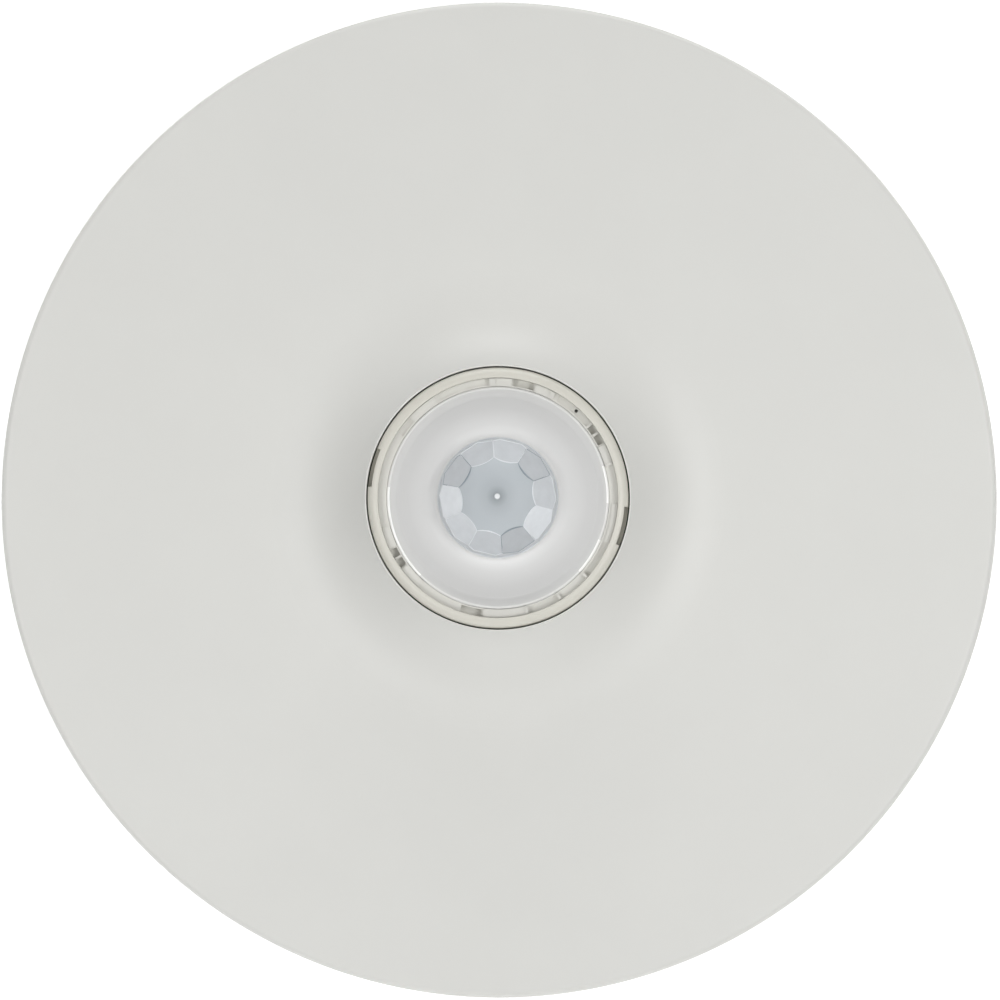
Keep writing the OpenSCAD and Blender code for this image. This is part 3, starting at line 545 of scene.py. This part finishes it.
def make_bezel():
    round_r = BEZEL_R - BEZEL_BORE_R - BEZEL_OUTER_BREAK
    top = bezel_high.z
    centre = (BEZEL_R - round_r, top - round_r)
    profile = [(BEZEL_SKIRT_BORE, bezel_low.z), (BEZEL_R, bezel_low.z)]
    for i in range(1, 6):
        profile.append((BEZEL_R, bezel_low.z + (centre[1] - bezel_low.z) * i / 6))
    profile += arc(centre, round_r, 0, math.pi / 2, 20)
    profile += arc((BEZEL_BORE_R + BEZEL_INNER_BREAK, top - BEZEL_INNER_BREAK), BEZEL_INNER_BREAK,
                   math.pi / 2, math.pi, 5)
    profile += [(BEZEL_BORE_R, BEZEL_STEP_Z), (BEZEL_SKIRT_BORE, BEZEL_STEP_Z)]
    ring = lathe("bezel_body", profile, 288)
    lugs = bmesh.new()
    for centre_angle in LUG_CENTRES:
        add_ring_block(lugs, LUG_R, BEZEL_SKIRT_BORE + LUG_ROOT, LUG_LOW_Z, LUG_HIGH_Z,
                       math.radians(centre_angle - LUG_HALF), math.radians(centre_angle + LUG_HALF))
    combine(ring, lugs, "UNION")
    notches = bmesh.new()
    for centre_angle in NOTCH_CENTRES:
        add_ring_block(notches, BEZEL_R - NOTCH_DEPTH, BEZEL_R + OVERCUT, NOTCH_FLOOR_Z, top + OVERCUT,
                       centre_angle - NOTCH_HALF, centre_angle + NOTCH_HALF)
    combine(ring, notches, "DIFFERENCE")
    ring.data.set_sharp_from_angle(angle=math.radians(35))
    soften(ring, 0.05 * MM, 2, 40)
    surface = moulded("bezel_plastic", srgb(214, 212, 202), 0.36, grain=0.003 * MM, mottle=0.01)
    finish_piece(ring, surface, "bezel", "bezel_plastic", "bezel_ring")


# ---- the lens ----

def lens_surface():
    """Frosted dish and a thinner, bluish dome, told apart by the distance from the axis, with painted shade
    round the gate and painted highlights at the dome's foot and the rim.
    """
    surface = Surface("lens_plastic")
    flat = surface.nodes.new("ShaderNodeVectorMath")
    flat.operation = "MULTIPLY"
    flat.inputs[1].default_value = (1, 1, 0)
    surface.links.new(surface.coordinates, flat.inputs[0])
    radius = surface.nodes.new("ShaderNodeVectorMath")
    radius.operation = "LENGTH"
    surface.links.new(flat.outputs["Vector"], radius.inputs[0])
    share = surface.nodes.new("ShaderNodeMapRange")
    share.inputs["From Max"].default_value = LENS_R
    surface.links.new(radius.outputs["Value"], share.inputs["Value"])
    cloud = surface.nodes.new("ShaderNodeMath")
    cloud.operation = "MULTIPLY_ADD"
    cloud.inputs[1].default_value = 0.006
    surface.links.new(surface.noise(260, 3), cloud.inputs[0])
    surface.links.new(share.outputs["Result"], cloud.inputs[2])
    # These bands carry painted shade round the gate and over the cap's middle, and painted highlights at
    # the dome's foot and round the rim.
    stops = [(place * MM / LENS_R, srgb(*colour)) for place, colour in LENS_COLOUR_AND_PAINTED_LIGHT]
    surface.colour(cloud.outputs["Value"], stops)
    surface.roughness(surface.noise(700, 3), 0.42, 0.5)
    surface.value("Specular IOR Level", 0.3)
    surface.bump(surface.noise(2600, 3), 0.003 * MM)
    surface.value("Subsurface Weight", 0.25)
    surface.value("Subsurface Scale", 0.8 * MM)
    surface.value("Subsurface Radius", (1.0, 1.0, 1.0))
    return surface


def facet_normal(azimuth, tilt):
    a, t = math.radians(azimuth), math.radians(tilt)
    return Vector((math.sin(t) * math.cos(a), math.sin(t) * math.sin(a), math.cos(t)))


def dome_surface(name, colour):
    """Thin bluish lens plastic of the facets and of the lines round them, in a grey that is painted light
    and shade, with faint ribs from the prisms inside.
    """
    surface = Surface(name)
    painted_tone = srgb(*colour)
    surface.colour(surface.noise(900, 3), [(0.3, shade(painted_tone, 0.97)), (0.7, shade(painted_tone, 1.03))])
    surface.roughness(surface.noise(700, 2), 0.34, 0.42)
    surface.bump(surface.noise(2600, 3), 0.003 * MM)
    surface.value("Specular IOR Level", 0.3)
    surface.value("Subsurface Weight", 0.1)
    surface.value("Subsurface Scale", 0.3 * MM)
    surface.value("Subsurface Radius", (1.0, 1.0, 1.0))
    return surface


def facet_polygons(data, azimuth):
    """The faces of the lens that lie on one flat facet of the upper ring."""
    _, _, tilt, reach = UPPER_FACETS
    normal = facet_normal(azimuth, tilt)
    found = []
    for polygon in data.polygons:
        height = (polygon.center - Vector((0, 0, DOME_Z))).dot(normal)
        if height > reach - 0.02 * MM and polygon.normal.dot(normal) > 0.9995:
            found.append(polygon)
    return found


def facet_outline(data, azimuth):
    """The points round one upper facet, in order."""
    uses = {}
    for polygon in facet_polygons(data, azimuth):
        corners = polygon.vertices
        for first, second in zip(corners, list(corners[1:]) + [corners[0]]):
            key = (min(first, second), max(first, second))
            uses[key] = uses.get(key, 0) + 1
    beside = {}
    for (first, second), count in uses.items():
        if count == 1:
            beside.setdefault(first, []).append(second)
            beside.setdefault(second, []).append(first)
    start = min(beside)
    loop, last, here = [start], None, start
    while True:
        ahead = [v for v in beside[here] if v != last]
        last, here = here, ahead[0]
        if here == start:
            break
        loop.append(here)
    points = [data.vertices[loop[0]].co.copy()]
    for index in loop[1:]:
        point = data.vertices[index].co
        if (point - points[-1]).length > 0.08 * MM and (point - points[0]).length > 0.04 * MM:
            points.append(point.copy())
    return points


def add_facet_bead(bm, points, normal, inner_r):
    """Adds the fine raised line round one facet, inner_r wide along the edge nearest the axis."""
    nearest = min(math.hypot(point.x, point.y) for point in points)
    rings = []
    for i, point in enumerate(points):
        along = (points[(i + 1) % len(points)] - points[i - 1]).normalized()
        side = along.cross(normal).normalized()
        share = max(0.0, 1 - (math.hypot(point.x, point.y) - nearest) / INNER_EDGE_DEPTH)
        radius = BEAD_R + (inner_r - BEAD_R) * share
        rings.append([bm.verts.new(point + (normal * 0.6 * math.cos(a) + side * math.sin(a)) * radius)
                      for a in (math.radians(45 * k) for k in range(8))])
    for i, ring in enumerate(rings):
        bridge(bm, ring, rings[(i + 1) % len(rings)])


def lens_profile():
    """The closed section of the dish, from the bore round the seat and the rim."""
    profile = [(LENS_BORE_R, LENS_BACK_Z), (DISH_LOW_R, LENS_BACK_Z), (LENS_SEAT_R, lens_low.z),
               (LENS_EDGE_R, lens_low.z)]
    profile += arc((LENS_EDGE_R - LENS_EDGE_ROUND, DISH_LOW_Z), LENS_EDGE_ROUND, 0, math.radians(115), 22)
    rim_r, rim_z = profile[-1]
    for i in range(1, 5):
        share = i / 5
        eased = share * share * (3 - 2 * share)
        profile.append((rim_r + (DISH_LOW_R - rim_r) * share, rim_z + (DISH_LOW_Z - rim_z) * eased))
    for i in range(13):
        share = i / 12
        profile.append((DISH_LOW_R + (DOME_FILLET_R - DISH_LOW_R) * share,
                        DISH_LOW_Z + (DISH_HIGH_Z - DISH_LOW_Z) * share))
    profile += arc((DOME_FILLET_R, DISH_HIGH_Z + DOME_FILLET), DOME_FILLET,
                   math.radians(262), math.radians(200), 10)
    profile.append((LENS_BORE_R, profile[-1][1]))
    return profile


def add_sphere(bm, u_segments, v_segments, radius):
    bmesh.ops.create_uvsphere(bm, u_segments=u_segments, v_segments=v_segments, radius=radius)


def faceted_dome():
    """A ball with flat facets cut on it, cut off level below."""
    dome = bmesh.new()
    add_sphere(dome, 160, 96, DOME_R)
    cuts = [((0, 0, -DOME_SKIRT), Vector((0, 0, -1)))]
    for count, start_angle, tilt, reach in (UPPER_FACETS, LOWER_FACETS):
        for i in range(count):
            normal = facet_normal(start_angle + i * 360 / count, tilt)
            cuts.append((normal * reach, normal))
    for point, normal in cuts:
        geometry = dome.verts[:] + dome.edges[:] + dome.faces[:]
        cut = bmesh.ops.bisect_plane(dome, geom=geometry, dist=1e-9, plane_co=point, plane_no=normal,
                                     clear_outer=True)
        edges = [e for e in cut["geom_cut"] if isinstance(e, bmesh.types.BMEdge)]
        bmesh.ops.contextual_create(dome, geom=edges)
    bmesh.ops.translate(dome, verts=dome.verts, vec=(0, 0, DOME_Z))
    return dome


def colour_lens(lens):
    """Gives each upper facet its painted light and shade, and the rim its arcs of painted highlight."""
    data = lens.data
    painted_tone_slots = {}
    # Each facet's grey is painted light and shade, lighter or darker by how the light falls on it.
    for azimuth, painted_tone in FACET_PAINTED_LIGHT:
        if painted_tone not in painted_tone_slots:
            painted_tone_slots[painted_tone] = len(data.materials)
            facet = dome_surface("lens_facet_%d" % painted_tone, (painted_tone, painted_tone + 4, painted_tone + 8))
            data.materials.append(facet.material)
        for polygon in facet_polygons(data, azimuth):
            polygon.material_index = painted_tone_slots[painted_tone]
    # Arcs of the rim are painted near-white as a painted highlight.
    painted_highlight_slot = len(data.materials)
    data.materials.append(moulded("lens_rim_painted_highlight", srgb(252, 252, 250), 0.3, grain=0.002 * MM).material)
    for polygon in data.polygons:
        x, y, z = polygon.center
        azimuth = math.degrees(math.atan2(y, x)) % 360
        on_arc = any(start <= turn <= end for start, end in PAINTED_RIM_HIGHLIGHT for turn in (azimuth, azimuth + 360))
        if on_arc and math.hypot(x, y) > PAINTED_RIM_HIGHLIGHT_R and z > DISH_LOW_Z:
            polygon.material_index = painted_highlight_slot


def make_facet_lines(name, colour, lens, azimuths, wide, inner_r):
    """The raised lines round some of the facets, in the colour given (light for painted highlights, dark
    for painted shade); those in wide are inner_r wide at the inner edge.
    """
    beads = bmesh.new()
    for azimuth in azimuths:
        add_facet_bead(beads, facet_outline(lens.data, azimuth), facet_normal(azimuth, UPPER_FACETS[2]),
                       inner_r if azimuth in wide else BEAD_R)
    finish_piece(from_bmesh(name, beads, 60), dome_surface(name, colour), "base", "lens_plastic")


def make_lens():
    lens = lathe("lens_moulding", lens_profile(), 256)
    combine(lens, faceted_dome(), "UNION")
    gate = bmesh.new()
    add_lathe(gate, [(GATE_CORE_R, GATE_LOW_Z), (GATE_R, GATE_LOW_Z), (GATE_R, GATE_SHOULDER_Z),
                     (GATE_R - GATE_BREAK, GATE_HIGH_Z), (GATE_CORE_R, GATE_HIGH_Z)], 32)
    combine(lens, gate, "UNION")
    hollow = bmesh.new()
    add_sphere(hollow, 128, 64, DOME_INNER_R)
    bmesh.ops.translate(hollow, verts=hollow.verts, vec=(0, 0, DOME_Z))
    combine(lens, hollow, "DIFFERENCE")
    lens.data.set_sharp_from_angle(angle=math.radians(8))
    finish_piece(lens, lens_surface(), "base", "lens_plastic", "lens")
    colour_lens(lens)
    # Near-white lines paint highlights round most facets; dark lines paint shade along the inner edges of
    # three.
    painted_highlight_facets = [azimuth for azimuth, _ in FACET_PAINTED_LIGHT if azimuth not in SHADED_FACETS]
    make_facet_lines("lens_facet_edges", (236, 240, 244), lens, painted_highlight_facets, LIT_FACETS, LIT_BEAD_R)
    make_facet_lines("lens_facet_shades", (150, 160, 168), lens, SHADED_FACETS, SHADED_FACETS,
                     SHADED_BEAD_R)


# ---- finishes of the pieces that stay as the solids give them ----

def board_surface():
    """Green solder mask over a faint pattern of square-cornered tracks."""
    surface = Surface("circuit_board")
    cells = surface.nodes.new("ShaderNodeTexVoronoi")
    cells.distance = "CHEBYCHEV"
    cells.inputs["Scale"].default_value = 330
    surface.links.new(surface.coordinates, cells.inputs["Vector"])
    bare, track = srgb(24, 92, 54), srgb(44, 126, 76)
    distance = cells.outputs["Distance"]
    surface.colour(distance, [(0.0, track), (0.12, track), (0.14, bare), (0.30, bare), (0.32, track),
                              (0.40, track), (0.42, bare), (1.0, bare)])
    surface.roughness(surface.noise(600, 3), 0.28, 0.40)
    surface.bump(distance, 0.02 * MM, 0.3)
    surface.bump(surface.noise(3500, 2), 0.003 * MM)
    return surface


def photocell_surface():
    """Orange face under clear resin, crossed by fine bands."""
    surface = Surface("photocell_resin")
    waves = surface.nodes.new("ShaderNodeTexWave")
    waves.inputs["Scale"].default_value = 320
    waves.inputs["Distortion"].default_value = 1.5
    surface.links.new(surface.coordinates, waves.inputs["Vector"])
    surface.colour(waves.outputs["Fac"], [(0.35, srgb(196, 104, 58)), (0.6, srgb(226, 196, 150))])
    surface.roughness(surface.noise(900, 2), 0.12, 0.2)
    surface.bump(surface.noise(1500, 2), 0.004 * MM)
    return surface


def resin_surface():
    surface = moulded("led_resin", srgb(206, 52, 40), 0.12, grain=0.002 * MM, mottle=0.05)
    surface.value("Transmission Weight", 0.55)
    surface.value("IOR", 1.5)
    return surface


# Each material slot's surface and how wide its nodes' edges are rounded, in mm.
SLOT_SURFACES = {
    "carrier_plastic": (lambda: moulded("carrier_plastic", srgb(214, 213, 207), 0.34), 0.04),
    "plate_plastic": (lambda: moulded("plate_plastic", srgb(214, 214, 209), 0.5), 0.08),
    "barrel_plastic": (lambda: moulded("barrel_plastic", srgb(200, 200, 196), 0.52), 0.08),
    "zinc_steel": (lambda: metal("zinc_steel", srgb(206, 206, 202), 0.30, (1, 1, 6)), 0.06),
    "circuit_board": (board_surface, 0.04),
    "terminal_plastic": (lambda: moulded("terminal_plastic", srgb(58, 124, 82), 0.45, mottle=0.04), 0.08),
    "brass": (lambda: metal("brass", srgb(206, 172, 104), 0.28, (6, 1, 1)), 0.03),
    "switch_plastic": (lambda: moulded("switch_plastic", srgb(44, 86, 152), 0.42, mottle=0.04), 0.08),
    "lever_plastic": (lambda: moulded("lever_plastic", srgb(232, 232, 227), 0.4), 0.06),
    "trimmer_plastic": (lambda: moulded("trimmer_plastic", srgb(48, 90, 162), 0.42, mottle=0.04), 0.08),
    "dial_plastic": (lambda: moulded("dial_plastic", srgb(224, 142, 66), 0.44, mottle=0.04), 0.06),
    "black_plastic": (lambda: moulded("black_plastic", srgb(44, 44, 47), 0.5, mottle=0.08), 0.05),
    "button_plastic": (lambda: moulded("button_plastic", srgb(188, 54, 46), 0.42, mottle=0.04), 0.1),
    "tinned_metal": (lambda: metal("tinned_metal", srgb(214, 214, 210), 0.34, (1, 1, 4)), 0.03),
    "can_aluminium": (lambda: metal("can_aluminium", srgb(210, 211, 213), 0.34, (1, 1, 8)), 0),
    "ceramic_tan": (lambda: moulded("ceramic_tan", srgb(176, 148, 108), 0.5, mottle=0.06), 0.04),
    "detector_steel": (lambda: metal("detector_steel", srgb(200, 198, 192), 0.25, (5, 5, 1)), 0.06),
    "filter_pane": (lambda: moulded("filter_pane", srgb(44, 46, 52), 0.08, 0.001 * MM, 0.1), 0.02),
    "led_resin": (resin_surface, 0.05),
    "photocell_resin": (photocell_surface, 0.1),
}


def finish_nodes():
    """Every CAD node that is still shown takes its slot's surface. Returns the surfaces by slot."""
    own_meshes = {"front_cover", "bezel_ring", "lens"}
    surfaces = {slot: build() for slot, (build, _) in SLOT_SURFACES.items()}
    for subpart in frame["record"]["subparts"]:
        node, slot = subpart["node"], subpart["material_slot"]
        if node not in own_meshes:
            finish_node(node, surfaces[slot], SLOT_SURFACES[slot][1] * MM)
    return surfaces


# ---- small parts that the solids leave out ----

def islands(node):
    """The low and high corners of each separate solid of a CAD node, and the middle of its lowest end."""
    data = frame["nodes"][node].data
    matrix = frame["nodes"][node].matrix_world
    place_of, parent = {}, []

    def root(i):
        while parent[i] != i:
            parent[i] = parent[parent[i]]
            i = parent[i]
        return i

    places = []
    for vertex in data.vertices:
        point = matrix @ vertex.co
        key = tuple(round(c / (0.002 * MM)) for c in point)
        if key not in place_of:
            place_of[key] = len(parent)
            parent.append(place_of[key])
        places.append((place_of[key], point))
    for polygon in data.polygons:
        first = root(places[polygon.vertices[0]][0])
        for index in polygon.vertices[1:]:
            parent[root(places[index][0])] = first
    solids = {}
    for place, point in places:
        solids.setdefault(root(place), []).append(point)
    found = []
    for key in sorted(solids):
        points = solids[key]
        low = Vector([min(point[k] for point in points) for k in range(3)])
        high = Vector([max(point[k] for point in points) for k in range(3)])
        lowest = [point for point in points if point.z < low.z + 0.05 * MM]
        foot = Vector([(min(point[k] for point in lowest) + max(point[k] for point in lowest)) / 2
                       for k in range(3)])
        found.append((low, high, foot))
    return found


def make_end_caps(name, node, cap, surface):
    """Tinned ends on a row of chips, along each chip's longer side."""
    bm = bmesh.new()
    skin = 0.02 * MM
    for low, high, _ in islands(node):
        along = 0 if high.x - low.x > high.y - low.y else 1
        for first in (True, False):
            start, end = low.copy(), high.copy()
            if first:
                end[along] = low[along] + cap
            else:
                start[along] = high[along] - cap
            outer_low = [c - skin for c in start]
            outer_high = [c + skin for c in end]
            outer_low[2] = start.z
            add_block(bm, outer_low, outer_high)
    finish_piece(from_bmesh(name, bm), surface, "base", "tinned_metal")


def add_solder(bm, x, y, from_z, to_z, foot_r, lead_r):
    """Adds a solder fillet, wide on the board and drawn up the lead."""
    steps = 6
    rings = []
    for i in range(steps + 1):
        share = i / steps
        spread = (1 - share) ** 2
        rings.append(add_circle(bm, lead_r + (foot_r - lead_r) * spread, from_z + (to_z - from_z) * share,
                                20, x, y))
    for lower, upper in zip(rings, rings[1:]):
        bridge(bm, lower, upper)
    bm.faces.new(rings[0])
    bm.faces.new(reversed(rings[-1]))


def make_solder(surface):
    board_low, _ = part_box("main_board")
    sensor_low, sensor_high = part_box("sensor_board")
    bm = bmesh.new()
    for node in ("trimmer_pins", "dip_switch_pins", "test_button_pins", "header_pins", "terminal_contacts"):
        for _, _, foot in islands(node):
            add_solder(bm, foot.x, foot.y, board_low.z, board_low.z - 0.8 * MM, 0.95 * MM, 0.5 * MM)
    for low, high, _ in islands("pyro_leads"):
        middle = (low + high) / 2
        add_solder(bm, middle.x, middle.y, sensor_low.z, sensor_low.z - 0.6 * MM, 0.7 * MM, 0.25 * MM)
    for low, high, _ in islands("socket_tails"):
        middle = (low + high) / 2
        add_solder(bm, middle.x, middle.y, sensor_high.z, sensor_high.z + 0.5 * MM, 0.8 * MM, 0.4 * MM)
    finish_piece(from_bmesh("solder_joints", bm), surface, "base", "tinned_metal")


def make_diode_bands(surface):
    """A pale band round one end of each diode."""
    bm = bmesh.new()
    skin = 0.015 * MM
    band_start, band_end = 0.7 * MM, 1.15 * MM
    lead_t = 0.3 * MM
    for low, high, _ in islands("diodes"):
        add_block(bm, (low.x + band_start, low.y - skin, low.z + lead_t),
                  (low.x + band_end, high.y + skin, high.z + skin))
    finish_piece(from_bmesh("diode_bands", bm), surface, "base", "lever_plastic")


def make_can_marks(surface):
    """The dark segment on top of each capacitor can that shows its negative side."""
    bm = bmesh.new()
    mark_t = 0.02 * MM
    edge = 0.3 * MM
    half_angle = math.radians(52)
    for low, high, _ in islands("capacitor_cans"):
        middle, radius = (low + high) / 2, (high.x - low.x) / 2 - edge
        points = arc((middle.x, middle.y), radius, math.pi - half_angle, math.pi + half_angle, 20)
        lower = [bm.verts.new((x, y, high.z - mark_t)) for x, y in points]
        upper = [bm.verts.new((x, y, high.z + mark_t)) for x, y in points]
        add_prism(bm, lower, upper)
    finish_piece(from_bmesh("can_marks", bm), surface, "base", "black_plastic")


make_camera()
make_studio()
make_cover()
make_bezel()
make_lens()
finishes = finish_nodes()
for name, node, cap in (("resistor_ends", "chip_resistors", 0.4 * MM),
                        ("capacitor_ends", "chip_capacitors", 0.45 * MM),
                        ("diode_ends", "diodes", 0.25 * MM)):
    make_end_caps(name, node, cap, finishes["tinned_metal"])
make_solder(finishes["tinned_metal"])
make_diode_bands(finishes["lever_plastic"])
make_can_marks(finishes["black_plastic"])
